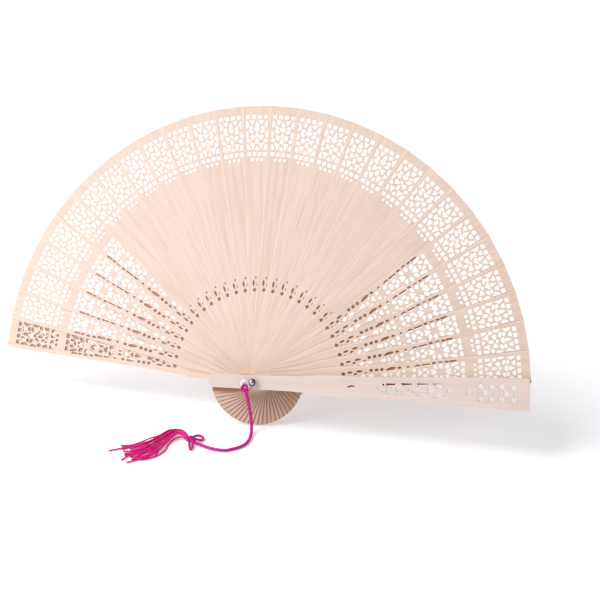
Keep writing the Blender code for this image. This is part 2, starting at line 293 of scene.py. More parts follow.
def dot_cut(x, r, width, height=None, turn=0.0, count=10):
    """An ellipse: half the width times cos a, half the height times sin a."""
    a = np.linspace(0.0, 2 * math.pi, count, endpoint=False)
    oval = np.column_stack([np.cos(a) * width, np.sin(a) * (height or width)]) / 2
    return turned_about(oval, x, r, turn)


def leaf_cut(x, r, length, width, turn=0.0):
    """Two arcs that meet in points: along t from -1 to 1 and back, with half width (1 - t t)."""
    t = np.linspace(-1.0, 1.0, 7)
    low = np.column_stack([t * length / 2, -(1 - t * t) * width / 2])
    high = np.column_stack([t[::-1][1:-1] * length / 2, (1 - t[1:-1] ** 2)[::-1] * width / 2])
    return turned_about(np.vstack([low, high]), x, r, turn)


def heart_cut(x, r, width, height, turn=0.0):
    """The heart curve, point down: x = sin a cubed, y = 13 cos a - 5 cos 2a - 2 cos 3a - cos 4a, scaled."""
    a = np.linspace(0.0, 2 * math.pi, 16, endpoint=False)
    y = (13 * np.cos(a) - 5 * np.cos(2 * a) - 2 * np.cos(3 * a) - np.cos(4 * a) + 2.5) / 29
    heart = np.column_stack([np.sin(a) ** 3 * width / 2, y * height])
    return turned_about(heart, x, r, turn)


def drop_cut(x, r, width, height, turn=0.0):
    """A drop with its point up: half width sin a times sin(a / 2) squared, height cos a."""
    a = np.linspace(0.0, 2 * math.pi, 12, endpoint=False)
    drop = np.column_stack([0.65 * width * np.sin(a) * np.sin(a / 2) ** 2, np.cos(a) * height / 2])
    return turned_about(drop, x, r, turn)


def cross_cut(x, r, width, height, bar):
    """Twelve corners: a bar of the full height and one of the full width."""
    w, h, b = width / 2, height / 2, bar / 2
    corners = [(b, h), (b, b), (w, b), (w, -b), (b, -b), (b, -h),
               (-b, -h), (-b, -b), (-w, -b), (-w, b), (-b, b), (-b, h)]
    return np.array(corners) + (x, r)


def corner_cut(*corners):
    return np.array(corners, float)


def both(*cuts):
    """The cuts and their mirror images on the other side of the blade's middle line."""
    return list(cuts) + [cut * (-1, 1) for cut in cuts]


print("points in a heart", len(heart_cut(0.0, 0.0, 4.0, 4.0)))

# %% [markdown]
# ## The fretwork at the head of every stick
#
# A row of four squares, a lattice of hearts, leaves and cut corners round one upright drop, a second row of
# squares and three round holes. The two sides mirror each other, so one side is listed.

# %% Head fretwork
HEAD_CUTS = both(
    slot_cut(2.25, 192.0, 2.7, 2.5),
    slot_cut(6.8, 192.0, 2.7, 2.5),
    corner_cut((8.3, 189.4), (7.3, 188.9), (5.7, 186.4), (7.9, 183.2)),
    corner_cut((5.3, 189.5), (1.9, 189.5), (2.4, 187.8), (3.3, 186.5), (4.4, 187.7)),
    dot_cut(4.3, 184.2, 3.0, 2.1, 10.0),
    leaf_cut(4.3, 181.5, 4.0, 2.3, 26.0),
    corner_cut((8.2, 182.0), (6.9, 180.9), (6.3, 179.3), (7.2, 176.8), (8.1, 177.0)),
    heart_cut(3.2, 176.9, 3.5, 3.8, 18.0),
    dot_cut(6.4, 174.8, 2.9, 2.6, 30.0),
    corner_cut((7.4, 172.1), (5.9, 171.6), (4.9, 168.3), (7.4, 168.3)),
    corner_cut((5.2, 172.9), (1.6, 172.9), (1.9, 171.4), (3.0, 168.2), (4.4, 171.2)),
    slot_cut(2.0, 165.0, 2.4, 2.5),
    slot_cut(6.0, 165.0, 2.6, 2.5),
    dot_cut(3.55, 161.1, 1.95),
) + [
    drop_cut(0.0, 186.9, 3.1, 4.6),
    heart_cut(0.0, 182.6, 4.3, 3.2),
    dot_cut(0.0, 178.9, 2.2, 1.8),
    leaf_cut(0.0, 174.5, 4.3, 2.3, 90.0),
    corner_cut((0.0, 170.7), (-1.4, 168.7), (-1.0, 168.2), (1.0, 168.2), (1.4, 168.7)),
    dot_cut(0.0, 161.1, 1.95),
]
print("head cuts", len(HEAD_CUTS))

# %% [markdown]
# ## The long fretwork of the outer sticks
#
# The six sticks at each side are pierced nearly to the neck: hearts and petals round a solid flower centre,
# with a ladder of slots down both borders. Further in the pattern narrows with the blade.

# %% Long fretwork
LONG_CUTS = both(
    slot_cut(4.7, 152.7, 3.1, 2.3),
    leaf_cut(2.25, 148.6, 3.9, 2.2, 100.0),
    leaf_cut(5.0, 146.9, 6.8, 2.0, 75.0),
    leaf_cut(3.7, 141.4, 4.4, 2.6, 45.0),
    leaf_cut(4.1, 136.9, 3.8, 2.9, 0.0),
    leaf_cut(3.6, 132.9, 4.0, 2.3, -30.0),
    slot_cut(7.1, 145.8, 1.0, 4.6, -3.0),
    slot_cut(6.8, 141.4, 1.1, 2.3, -3.0),
    slot_cut(6.9, 136.9, 0.9, 2.8, -3.0),
    slot_cut(6.4, 132.2, 1.2, 2.4, -3.0),
    slot_cut(5.3, 126.5, 1.5, 5.8, -4.0),
    leaf_cut(2.1, 125.3, 3.7, 2.2, 80.0),
    leaf_cut(4.9, 120.3, 4.2, 2.0, 82.0),
    corner_cut((0.9, 118.6), (3.1, 118.9), (3.6, 117.2), (2.2, 115.6), (0.9, 117.0)),
    dot_cut(4.3, 113.6, 2.0, 2.0),
    corner_cut((0.8, 111.2), (3.0, 111.4), (3.2, 109.8), (1.7, 108.8), (0.9, 109.8)),
    dot_cut(4.4, 107.4, 1.7, 2.5),
    leaf_cut(4.0, 101.2, 7.6, 2.2, 80.0),
    dot_cut(2.35, 103.2, 0.9, 1.8),
    slot_cut(3.8, 94.6, 2.0, 2.0, 25.0),
    slot_cut(3.8, 90.7, 2.0, 2.1, 8.0),
    slot_cut(3.7, 86.8, 1.8, 2.2, -12.0),
    leaf_cut(1.75, 83.4, 2.6, 1.1, 100.0),
    leaf_cut(3.4, 78.2, 4.8, 1.5, 88.0),
    slot_cut(1.3, 75.2, 1.6, 1.8, 20.0),
    leaf_cut(2.9, 71.2, 4.0, 1.4, 88.0),
    slot_cut(2.0, 66.4, 2.0, 2.3, 30.0),
) + [
    heart_cut(0.0, 152.0, 3.9, 3.6),
    heart_cut(0.0, 146.7, 2.7, 2.1, 180.0),
    heart_cut(0.0, 141.9, 4.3, 4.9),
    heart_cut(0.0, 131.9, 4.1, 4.7, 180.0),
    dot_cut(0.0, 127.5, 2.6, 2.0),
    heart_cut(0.0, 121.9, 4.2, 3.4, 180.0),
    heart_cut(0.0, 105.6, 3.8, 3.0),
    heart_cut(0.0, 100.8, 3.3, 2.1, 180.0),
    drop_cut(0.0, 95.9, 3.4, 5.0, 180.0),
    leaf_cut(0.0, 86.4, 4.4, 2.3, 90.0),
    leaf_cut(0.0, 80.4, 3.6, 2.3, 90.0),
    leaf_cut(0.0, 70.2, 2.6, 1.2, 90.0),
]
NECK_CUTS = both(
    leaf_cut(2.8, 71.3, 4.6, 1.5, 88.0),
    slot_cut(2.0, 66.4, 2.0, 2.3, 30.0),
    dot_cut(1.0, 75.4, 1.0, 1.4),
) + [leaf_cut(0.0, 70.2, 2.6, 1.1, 90.0)]
print("long cuts", len(LONG_CUTS), "neck cuts", len(NECK_CUTS))

# %% [markdown]
# ## From outlines to a pierced blade
#
# A grid of points can't hold a hundred odd holes, so a blade is a flat curve: its outline and every cut are
# closed lines, and Blender fills what lies between them. The curve becomes a mesh, gets a UV map
# along its own length for the grain, and is turned into its place in the fan.

# %% Outlines of blades and cuts
def rounded_end(x, half_width, corner, sign, steps=4):
    """Quarter circle at a blade's end, from its side to its end edge for sign 1, or back for sign -1."""
    a = np.linspace(0.0, math.pi / 2, steps + 1)
    out = np.column_stack([x + sign * corner * (np.sin(a) - 1), half_width + corner * (np.cos(a) - 1)])
    return out if sign > 0 else out[::-1]


def blade_outline(reach, tail, stations, tail_corner, end_corner):
    """Half widths at stations along the blade, smoothed between them, with rounded corners at both ends."""
    station = np.array(stations, float)
    along = np.linspace(station[1, 0], station[-2, 0], 34)
    slope = np.gradient(station[:, 1], station[:, 0])
    index = np.clip(np.searchsorted(station[:, 0], along, side="right") - 1, 0, len(station) - 2)
    span = station[index + 1, 0] - station[index, 0]
    t = (along - station[index, 0]) / span
    half = ((2 * t**3 - 3 * t**2 + 1) * station[index, 1] + (t**3 - 2 * t**2 + t) * span * slope[index]
            + (3 * t**2 - 2 * t**3) * station[index + 1, 1] + (t**3 - t**2) * span * slope[index + 1])
    tail_end = rounded_end(-tail, station[0, 1], tail_corner, -1)
    far_end = rounded_end(reach, station[-1, 1], end_corner, 1)
    side = np.vstack([tail_end, np.column_stack([along, half]), far_end])
    return np.vstack([side, side[::-1] * (1, -1)])


def wound(loop, sign):
    """The loop in the order that gives its area this sign: outlines go one way round and cuts the other."""
    x, y = loop.T
    area = (x * np.roll(y, -1) - y * np.roll(x, -1)).sum()
    return loop if area * sign > 0 else loop[::-1]


def grown(cut, by):
    """Moves each side of a clockwise outline out by one amount; a corner takes the sum of its two sides."""
    side = np.roll(cut, -1, axis=0) - cut
    side /= np.linalg.norm(side, axis=1, keepdims=True)
    out = np.column_stack([-side[:, 1], side[:, 0]])
    before = np.roll(out, 1, axis=0)
    share = np.maximum(1 + (out * before).sum(axis=1, keepdims=True), 0.6)
    return cut + by * (out + before) / share


print("corner points at a blade's end", len(rounded_end(10.0, 5.0, 1.0, 1)))

# %% [markdown]
# ### One blade, and its copies in the fan
#
# The mesh is made once for each kind of blade and copied to every place. A blade's grain starts at its own
# point of the noise, so no two blades look alike. Each copy also learns where the blade in front covers it.

# %% Blade maker
EDGE_BEVEL = 0.09 * MM
SAME_PLACE = 0.002 * MM
PIN_HOLE_MM = 1.5
KERF_MM = 0.08
SHEET_SIZE = 0.1


def welded(mesh):
    """Merges points that lie on each other and turns the faces outwards."""
    weld = bmesh.new()
    weld.from_mesh(mesh)
    bmesh.ops.remove_doubles(weld, verts=weld.verts, dist=SAME_PLACE)
    bmesh.ops.recalc_face_normals(weld, faces=weld.faces)
    weld.to_mesh(mesh)
    weld.free()
    return mesh


def pierced_blade(name, outline_mm, cuts_mm, thickness):
    """A mesh along +X from its outline and cuts, with a fine chamfer on every edge."""
    curve = bpy.data.curves.new(name, "CURVE")
    curve.dimensions = "2D"
    curve.fill_mode = "BOTH"
    curve.extrude = thickness / 2 - EDGE_BEVEL
    curve.bevel_depth = EDGE_BEVEL
    curve.bevel_resolution = 0
    curve.offset = -EDGE_BEVEL
    pin_hole = dot_cut(0.0, 0.0, 2 * PIN_HOLE_MM, count=20)
    cuts = [np.column_stack([cut[:, 1], -cut[:, 0]]) for cut in [pin_hole, *cuts_mm]]
    loops = [wound(outline_mm, 1), wound(cuts[0], -1)] + [grown(wound(cut, -1), KERF_MM) for cut in cuts[1:]]
    for loop in loops:
        spline = curve.splines.new("POLY")
        spline.points.add(len(loop) - 1)
        flat = np.column_stack([loop * MM, np.zeros(len(loop)), np.ones(len(loop))])
        spline.points.foreach_set("co", flat.astype(np.float32).ravel())
        spline.use_cyclic_u = True
    item = in_scene(name, curve)
    bpy.context.view_layer.update()
    mesh = bpy.data.meshes.new_from_object(item.evaluated_get(bpy.context.evaluated_depsgraph_get()))
    bpy.data.objects.remove(item, do_unlink=True)
    return welded(mesh)


def place_blade(name, shape, node, grain_shift, step, narrower, tones):
    """A copy of a blade's mesh in the place of a packed blade.

    The first UV map runs along the blade for the grain. The second gives each front point's place on the
    blade in front, which stands the angle step further round, in the same unit, moved out by as much as that
    blade's shank is narrower than a stick's. The third gives its place on the blade itself. Backs and edges
    get (0, 1) in both. Three numbers become attributes: how dark the painted shade on the tail is, how dark
    the painted shade on the covered places is, and the board's tone, partly painted shade that darkens the
    blades towards the right.
    """
    angle, depth, _, _ = blade_place(node)
    mesh = shape.copy()
    mesh.name = name
    co = np.empty(len(mesh.vertices) * 3, np.float32)
    mesh.vertices.foreach_get("co", co)
    local = co.reshape(-1, 3).astype(float)
    corner = np.empty(len(mesh.loops), np.int32)
    mesh.loops.foreach_get("vertex_index", corner)
    layer = mesh.uv_layers.get("UVMap") or mesh.uv_layers.new(name="UVMap")
    uv = local[corner][:, :2] / SHEET_SIZE + grain_shift
    layer.data.foreach_set("uv", uv.astype(np.float32).ravel())
    c, s = math.cos(math.radians(step)), math.sin(math.radians(step))
    over = np.column_stack([local[:, 0] * c - local[:, 1] * s, local[:, 0] * s + local[:, 1] * c])[corner]
    normal_z = np.empty(len(mesh.polygons) * 3, np.float32)
    mesh.polygons.foreach_get("normal", normal_z)
    sides = np.empty(len(mesh.polygons), np.int32)
    mesh.polygons.foreach_get("loop_total", sides)
    is_front = np.repeat(normal_z[2::3] > 0.9, sides)
    over = np.where(is_front[:, None], (over + (0.0, narrower)) / SHEET_SIZE, (0.0, 1.0))
    mesh.uv_layers.new(name="Cover").data.foreach_set("uv", over.astype(np.float32).ravel())
    own = np.where(is_front[:, None], local[corner][:, :2] / SHEET_SIZE, (0.0, 1.0))
    mesh.uv_layers.new(name="Place").data.foreach_set("uv", own.astype(np.float32).ravel())
    for label, value in zip(("tail_shade_tone", "covered_shade_tone", "board_tone_and_shade"), tones):
        same_all_over = np.full(len(mesh.vertices), value, np.float32)
        mesh.attributes.new(label, "FLOAT", "POINT").data.foreach_set("value", same_all_over)
    mesh.vertices.foreach_set("co", to_fan(local, angle, depth).astype(np.float32).ravel())
    mesh.update()
    return in_scene(name, mesh)


print("chamfer mm", EDGE_BEVEL / MM, "and each cut grows by mm", KERF_MM)

# %% [markdown]
# ## The sticks
#
# All sticks have one outline: a straight shank round the rivet, a shoulder, a slight waist and a widening
# blade with a straight end. The outer six at each side carry the long fretwork and the others only a small
# group at the neck.

# %% Sticks
_, _, stick_thickness, stick_reach = blade_place(STICKS[0])
PATTERN_REACH = 199.7
SCALE = stick_reach / MM / PATTERN_REACH
STICK_STATIONS = (
    (-28.0, 6.35), (2.0, 6.35), (25.0, 6.35), (37.7, 6.35), (46.6, 6.95), (57.5, 7.55), (74.0, 7.25),
    (104.0, 7.85), (129.0, 8.6), (149.0, 9.35), (164.0, 9.9), (184.0, 10.8), (198.2, 11.35),
)
OUTER_STICKS = 6
NARROWER_SHANK = 1.3 * MM
TONE_PLACES = (0, 19, 27)
# How dark the painted shade on the tails is, by stick.
TAIL_SHADE_TONES = (0.68, 0.32, 0.16)
# How dark the painted shade on the covered places is, by stick.
COVERED_SHADE_TONES = (0.74, 0.76, 1.1)
# The board tone by stick: painted shade that darkens the sticks towards the right.
BOARD_TONES_AND_SHADE = (1.0, 0.35, -0.35)
stick_outline = blade_outline(stick_reach / MM, 31.5, STICK_STATIONS, 2.0, 0.6)
head_cuts = [cut * SCALE for cut in HEAD_CUTS]
long_shape = pierced_blade("long_stick", stick_outline, head_cuts + [cut * SCALE for cut in LONG_CUTS],
                           stick_thickness)
short_shape = pierced_blade("short_stick", stick_outline, head_cuts + [cut * SCALE for cut in NECK_CUTS],
                            stick_thickness)
grain = np.random.default_rng(7).uniform(0.0, 40.0, (len(STICKS) + 2, 2))
stick_pieces = []
for number, node in enumerate(STICKS):
    is_outer = number < OUTER_STICKS or number >= len(STICKS) - OUTER_STICKS
    is_last = number + 1 == len(STICKS)
    in_front = "front_guard" if is_last else STICKS[number + 1]
    step = math.degrees(blade_place(node)[0] - blade_place(in_front)[0])
    shape = long_shape if is_outer else short_shape
    tones = [np.interp(number, TONE_PLACES, values) for values in (TAIL_SHADE_TONES, COVERED_SHADE_TONES, BOARD_TONES_AND_SHADE)]
    # A random tone of the board, added to the painted shade.
    tones[2] += 0.5 * (grain[number, 0] % 1.0 - 0.5)
    narrower = NARROWER_SHANK if is_last else 0.0
    piece = place_blade("pierced_" + node, shape, node, grain[number], step, narrower, tones)
    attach(piece, node)
    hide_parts(node)
    stick_pieces.append(piece)
print("stick triangles", sum(len(p.data.polygons) for p in stick_pieces))

# %% [markdown]
# ## The guards
#
# The guards are thicker and carry their own pattern: a lozenge at the neck, a long medallion of slots round
# a cross and hearts, a small finial and two groups of five hearts at the end. Front and rear are one shape.

# %% Guards
GUARD_STATIONS = (
    (-33.0, 4.85), (-25.0, 4.9), (0.0, 5.1), (20.0, 5.3), (34.7, 5.75), (44.0, 6.8), (49.6, 7.35),
    (54.6, 7.65), (64.5, 7.4), (89.0, 7.45), (119.0, 8.75), (149.0, 10.0), (175.0, 10.8), (197.7, 11.6),
)


def five_hearts(r):
    """Four hearts at the corners of a square, points outwards, one between them, and small dots."""
    corners = both(heart_cut(4.7, r - 4.0, 3.8, 4.4, 100.0), heart_cut(4.7, r + 4.1, 3.8, 4.4, 80.0))
    dots = both(dot_cut(4.9, r, 0.9, 1.3), dot_cut(1.0, r - 5.0, 0.9, 0.9), dot_cut(1.0, r + 5.1, 0.9, 0.9))
    return corners + dots + [heart_cut(0.0, r - 0.4, 4.0, 4.4, 180.0)]


GUARD_CUTS = both(
    dot_cut(2.4, 95.6, 1.6, 1.3),
    corner_cut((3.5, 97.6), (3.6, 104.6), (2.6, 103.6), (1.0, 99.6), (1.0, 97.8)),
    corner_cut((4.1, 108.2), (4.1, 116.0), (2.2, 115.4), (2.2, 109.6)),
    corner_cut((4.5, 120.0), (4.5, 128.4), (3.0, 127.6), (2.6, 120.2)),
    corner_cut((4.9, 130.8), (4.9, 138.2), (1.6, 136.8), (1.6, 135.0)),
    dot_cut(3.2, 139.7, 1.0, 1.4),
) + [
    leaf_cut(0.2, 72.8, 6.6, 2.4, 90.0),
    heart_cut(0.0, 92.3, 3.0, 3.6),
    heart_cut(0.0, 105.8, 3.8, 3.8),
    cross_cut(0.0, 117.6, 4.0, 7.7, 1.4),
    heart_cut(0.0, 130.0, 5.4, 5.6, 180.0),
    heart_cut(0.0, 143.2, 3.2, 4.2, 180.0),
    leaf_cut(0.0, 156.6, 4.4, 1.3, 90.0),
]
GUARD_CUTS += both(dot_cut(1.6, 155.6, 0.8, 0.8))
GUARD_CUTS += five_hearts(168.7) + five_hearts(183.8)
_, _, guard_thickness, guard_reach = blade_place("front_guard")
guard_outline = blade_outline(guard_reach / MM, 33.0, GUARD_STATIONS, 3.0, 1.2)
guard_shape = pierced_blade("guard", guard_outline, [cut * SCALE for cut in GUARD_CUTS], guard_thickness)
# The guards' tail and covered-place tones set painted shade; the third number is the board tone.
GUARD_TONES = (0.4, 0.6, 0.5)
guard_pieces = []
for number, node in enumerate(("front_guard", "rear_guard")):
    piece = place_blade("pierced_" + node, guard_shape, node, grain[-1 - number], 0.2, 0.0, GUARD_TONES)
    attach(piece, node)
    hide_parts(node)
    guard_pieces.append(piece)
print("guard cuts", len(GUARD_CUTS))

# %% [markdown]
# ## Rivet and cap
#
# Both are turned metal, so each is a profile of radius against height that is swept round the axis. The dome
# is a quarter ellipse above a short rim, and the cap is a flat ring with a rounded outer edge.

# %% Turned metal
def turned_object(name, profile, steps=48):
    """Sweeps (radius, height) round the rivet's axis: radius (right cos a + up sin a) + height axis."""
    profile = np.array(profile, float)
    angle = np.linspace(0.0, 2 * math.pi, steps, endpoint=False)
    ring = np.cos(angle)[:, None] * RIGHT + np.sin(angle)[:, None] * UP_THE_FAN
    points = profile[:, None, :1] * ring[None] + profile[:, None, 1:] * AXIS
    rows = len(profile)
    row, column = np.meshgrid(np.arange(rows - 1), np.arange(steps), indexing="ij")
    after = (column + 1) % steps
    quad = np.stack([row * steps + column, (row + 1) * steps + column,
                     (row + 1) * steps + after, row * steps + after], axis=-1)
    mesh = bpy.data.meshes.new(name)
    mesh.from_pydata(points.reshape(-1, 3).tolist(), [], quad.reshape(-1, 4).tolist())
    welded(mesh).shade_smooth()
    mesh.set_sharp_from_angle(angle=math.radians(50.0))
    return in_scene(name, mesh)


def axis_span(node):
    """Lowest and highest distance of a node along the axis, and its greatest distance from it."""
    points = node_points(node)
    depth = points @ AXIS
    return depth.min(), depth.max(), np.hypot(points @ RIGHT, points @ UP_THE_FAN).max()


pin_low, head_top, head_radius = axis_span("rivet")
pin_radius = 1.2 * MM
head_height = 2.1 * MM
DOME_STARTS = 0.4 * MM
CURL = 0.5 * MM
head_base = head_top - head_height
quarter = np.linspace(0.0, math.pi / 2, 16)
dome_height = head_height - DOME_STARTS
dome_line = head_base + DOME_STARTS + dome_height * np.cos(quarter)
dome = np.column_stack([head_radius * np.sin(quarter), dome_line])
rim = [(head_radius, head_base + 0.15 * MM), (head_radius - 0.15 * MM, head_base), (pin_radius, head_base)]
pin = [(pin_radius, pin_low + 0.2 * MM), (pin_radius - 0.2 * MM, pin_low), (0.0, pin_low)]
rivet = turned_object("rivet_dome", np.vstack([dome, rim, pin]))
cap_low, cap_high, cap_radius = axis_span("rivet_cap")
bore = pin_radius + 0.15 * MM
curl_out, curl_down = CURL * np.cos(-quarter), CURL * np.sin(-quarter)
curl = np.column_stack([cap_radius - CURL + curl_out, cap_low + CURL + curl_down])
flat_side = [(bore, cap_high), (cap_radius, cap_high)]
cap = turned_object("rivet_washer", np.vstack([flat_side, curl, [(bore, cap_low), (bore, cap_high)]]))
for piece, node in ((rivet, "rivet"), (cap, "rivet_cap")):
    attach(piece, "front_guard")
    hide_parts(node)
print("dome radius mm", round(head_radius / MM, 2))

# %% [markdown]
# ## Eyelet
#
# The eyelet is a round wire link: a small ring round the pin and a larger one that stands off the guard for
# the cord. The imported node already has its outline, so this piece only rounds it: a torus for the free ring
# and a flatter one round the pin, melted together by a voxel remesh.

# %% Eyelet
def ring_points(centre, normal, radius, half_height, half_width, around=40, section=16):
    """Torus: centre + (radius + half width cos b)(e cos a + f sin a) + half height sin b normal."""
    e = np.cross(normal, (0.0, 0.0, 1.0))
    e /= np.linalg.norm(e)
    f = np.cross(normal, e)
    a = np.linspace(0.0, 2 * math.pi, around, endpoint=False)[:, None, None]
    b = np.linspace(0.0, 2 * math.pi, section, endpoint=False)[None, :, None]
    outward = e * np.cos(a) + f * np.sin(a)
    return centre + (radius + half_width * np.cos(b)) * outward + half_height * np.sin(b) * normal


def ring_faces(around=40, section=16):
    """The four-sided faces of a torus: both its rows and its columns close on themselves."""
    a, b = np.meshgrid(np.arange(around), np.arange(section), indexing="ij")
    an, bn = (a + 1) % around, (b + 1) % section
    quad = [a * section + b, an * section + b, an * section + bn, a * section + bn]
    return np.stack(quad, -1).reshape(-1, 4)


eyelet_points = node_points("cord_eyelet")
eyelet_centre = eyelet_points.mean(0)
spread = eyelet_points - eyelet_centre
_, _, rows = np.linalg.svd(spread, full_matrices=False)
link_long, link_normal = rows[0], rows[2]
link_normal = link_normal * np.sign(link_normal @ AXIS)
EYE_RADIUS = 3.5 * MM
EYE_TO_PIN = 5.6 * MM
EYE_ANGLE = math.radians(201.0)
eye_way = math.cos(EYE_ANGLE) * RIGHT + math.sin(EYE_ANGLE) * UP_THE_FAN
link_long = link_long * np.sign(link_long @ eye_way)
reach_out = (spread @ link_long).max()
eye_centre = eyelet_centre + (reach_out - EYE_RADIUS) * link_long
pin_centre = eye_centre - EYE_TO_PIN * link_long
pin_ring = ring_points(pin_centre, link_normal, 2.05 * MM, 0.4 * MM, 0.55 * MM)
eye_ring = ring_points(eye_centre, link_normal, 2.45 * MM, 0.62 * MM, 0.98 * MM)
eyelet_mesh = bpy.data.meshes.new("eyelet_link")
both_rings = np.vstack([pin_ring.reshape(-1, 3), eye_ring.reshape(-1, 3)])
faces = np.vstack([ring_faces(), ring_faces() + len(both_rings) // 2])
eyelet_mesh.from_pydata(both_rings.tolist(), [], faces.tolist())
eyelet = in_scene("eyelet_link", eyelet_mesh)
melt = eyelet.modifiers.new("Melt", "REMESH")
melt.mode = "VOXEL"
melt.voxel_size = 0.12 * MM
bpy.context.view_layer.update()
melted = bpy.data.meshes.new_from_object(eyelet.evaluated_get(bpy.context.evaluated_depsgraph_get()))
eyelet.modifiers.clear()
eyelet.data = melted
melted.shade_smooth()
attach(eyelet, "front_guard")
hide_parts("cord_eyelet")
print("eye centre mm", np.round(eye_centre / MM, 2).tolist())

# %% [markdown]
# ## The hitch on the eyelet
#
# The cord is tied with a cow hitch: its bight goes through the ring from behind, folds down over the front
# and holds both runs under one crossing. So there are two short runs out of the eye and one bar across them.

# %% Hitch
RUN_RADIUS = 1.05 * MM
RUN_PITCH = 2.4 * MM


def from_eye(points):
    """Points given across, up the fan and off the fan from the middle of the eye, in mm, as world mm."""
    given = np.asarray(points, float)
    world = given[:, :1] * RIGHT + given[:, 1:2] * UP_THE_FAN + given[:, 2:] * AXIS
    return world + eye_centre / MM


def hitch_run(side):
    """One run: out of the eye at the front, down over the ring's rim and under the bar."""
    return from_eye([
        (side * 0.55, -0.75, -0.6), (side * 1.2, -1.1, 0.7), (side * 1.8, -2.3, 1.5),
        (side * 1.75, -3.6, 1.5), (side * 1.3, -4.6, 1.0), (side * 0.5, -5.3, 0.2),
    ])


bar = from_eye([
    (0.0, -4.0, -0.4), (-1.5, -4.1, -0.4), (-2.1, -4.3, 0.4), (-1.4, -4.4, 1.5), (0.0, -4.5, 1.8),
    (1.4, -4.4, 1.5), (2.1, -4.3, 0.4), (1.5, -4.1, -0.4), (0.1, -4.0, -0.4),
])
stub = from_eye([(0.3, -3.6, 0.3), (0.4, -4.6, 0.1), (0.6, -5.6, -0.1)])
hitch_parts = (
    (hitch_run(-1), 40, RUN_RADIUS), (hitch_run(1), 40, RUN_RADIUS), (bar, 60, RUN_RADIUS),
    (stub, 20, CORD_RADIUS * 0.9),
)
hitch = tube_object("cord_hitch", [
    tube_points(smooth_path(way, count), radius, 20, plaited(4, RUN_PITCH, 0.12))
    for way, count, radius in hitch_parts
])
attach(hitch, "front_guard")
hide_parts("cord_knot")
print("hitch tubes", len(hitch_parts))

# %% [markdown]
# ## The bow at the tassel
#
# The same cord is tied round the neck of the tassel. What shows is a round loop that lies to the right, a
# narrow pointed loop towards the viewer and the wraps of the knot between them.

# %% Bow
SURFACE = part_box("cord")[0][2] / MM
LOOP_RADIUS = 0.95 * MM
LOOP_PITCH = 2.6 * MM
flat_loop = [
    (-35.6, -46.4, SURFACE + 2.4), (-33.8, -43.0, SURFACE + 2.7), (-31.2, -41.3, SURFACE + 2.2),
    (-28.9, -41.9, SURFACE + 1.6), (-28.0, -44.2, SURFACE + 1.3), (-29.3, -46.6, SURFACE + 1.6),
    (-32.4, -47.2, SURFACE + 2.6), (-35.4, -47.4, SURFACE + 2.6),
]
point_loop = [
    (-36.0, -48.0, SURFACE + 2.4), (-35.8, -51.6, SURFACE + 2.2), (-34.4, -56.0, SURFACE + 1.4),
    (-32.3, -60.2, SURFACE + 1.1), (-31.9, -57.0, SURFACE + 1.3), (-33.2, -52.4, SURFACE + 2.4),
    (-35.0, -48.6, SURFACE + 2.8),
]


def wrap(x, y, turn, reach):
    """An oval band round the neck: it stands upright, square to the direction of turn."""
    a = np.linspace(0.0, 2 * math.pi, 13)
    c, s = math.cos(math.radians(turn)), math.sin(math.radians(turn))
    out = np.cos(a) * reach
    return np.column_stack([x + out * c, y + out * s, SURFACE + 2.2 + 1.25 * np.sin(a)])


bow_parts = (
    (flat_loop, 90), (point_loop, 90),
    (wrap(-37.0, -47.2, 62.0, 2.3), 70), (wrap(-35.6, -47.6, 75.0, 2.0), 70),
)
bow = tube_object("tassel_tie", [
    tube_points(smooth_path(way, count), LOOP_RADIUS, 20, plaited(4, LOOP_PITCH, 0.12))
    for way, count in bow_parts
])
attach(bow, "front_guard")
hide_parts("tassel_bow")
print("surface mm", round(SURFACE, 2))

# %% [markdown]
# ## The tassel
#
# About two dozen yarns leave the neck together, arch over to the left and spread into loose ends. Each yarn
# has its own end point on the table. Between neck and end it follows the bundle's middle line at its own
# place across and up, so yarns cross a little and none is straight.

# %% Tassel
YARN_RADIUS = 0.62 * MM
YARN_PITCH = 2.6 * MM
BUNDLE = np.array([
    (-38.6, -46.8, 2.2), (-42.4, -43.8, 3.4), (-46.8, -42.0, 3.8), (-50.6, -44.2, 3.2), (-53.8, -50.4, 2.6),
    (-56.4, -58.2, 2.2), (-59.6, -66.2, 2.0),
])
BUNDLE_HALF_WIDTH = np.array([1.0, 2.0, 3.2, 4.6, 5.8, 7.4, 9.6])
YARN_ENDS = (
    (-82.0, -66.6), (-80.0, -68.8), (-87.6, -75.8), (-79.0, -71.6), (-74.0, -70.0), (-73.4, -73.2),
    (-75.6, -77.0), (-74.6, -79.6), (-71.0, -77.8), (-68.6, -75.4), (-74.6, -86.4), (-69.8, -88.8),
    (-66.0, -82.6), (-63.6, -80.4), (-61.6, -82.4), (-59.8, -81.6), (-66.4, -79.2), (-70.4, -80.4),
    (-76.8, -69.4), (-71.6, -75.6), (-64.4, -77.8), (-62.6, -78.6), (-67.8, -84.2), (-72.2, -72.0),
    (-77.6, -74.0), (-69.0, -81.0),
)


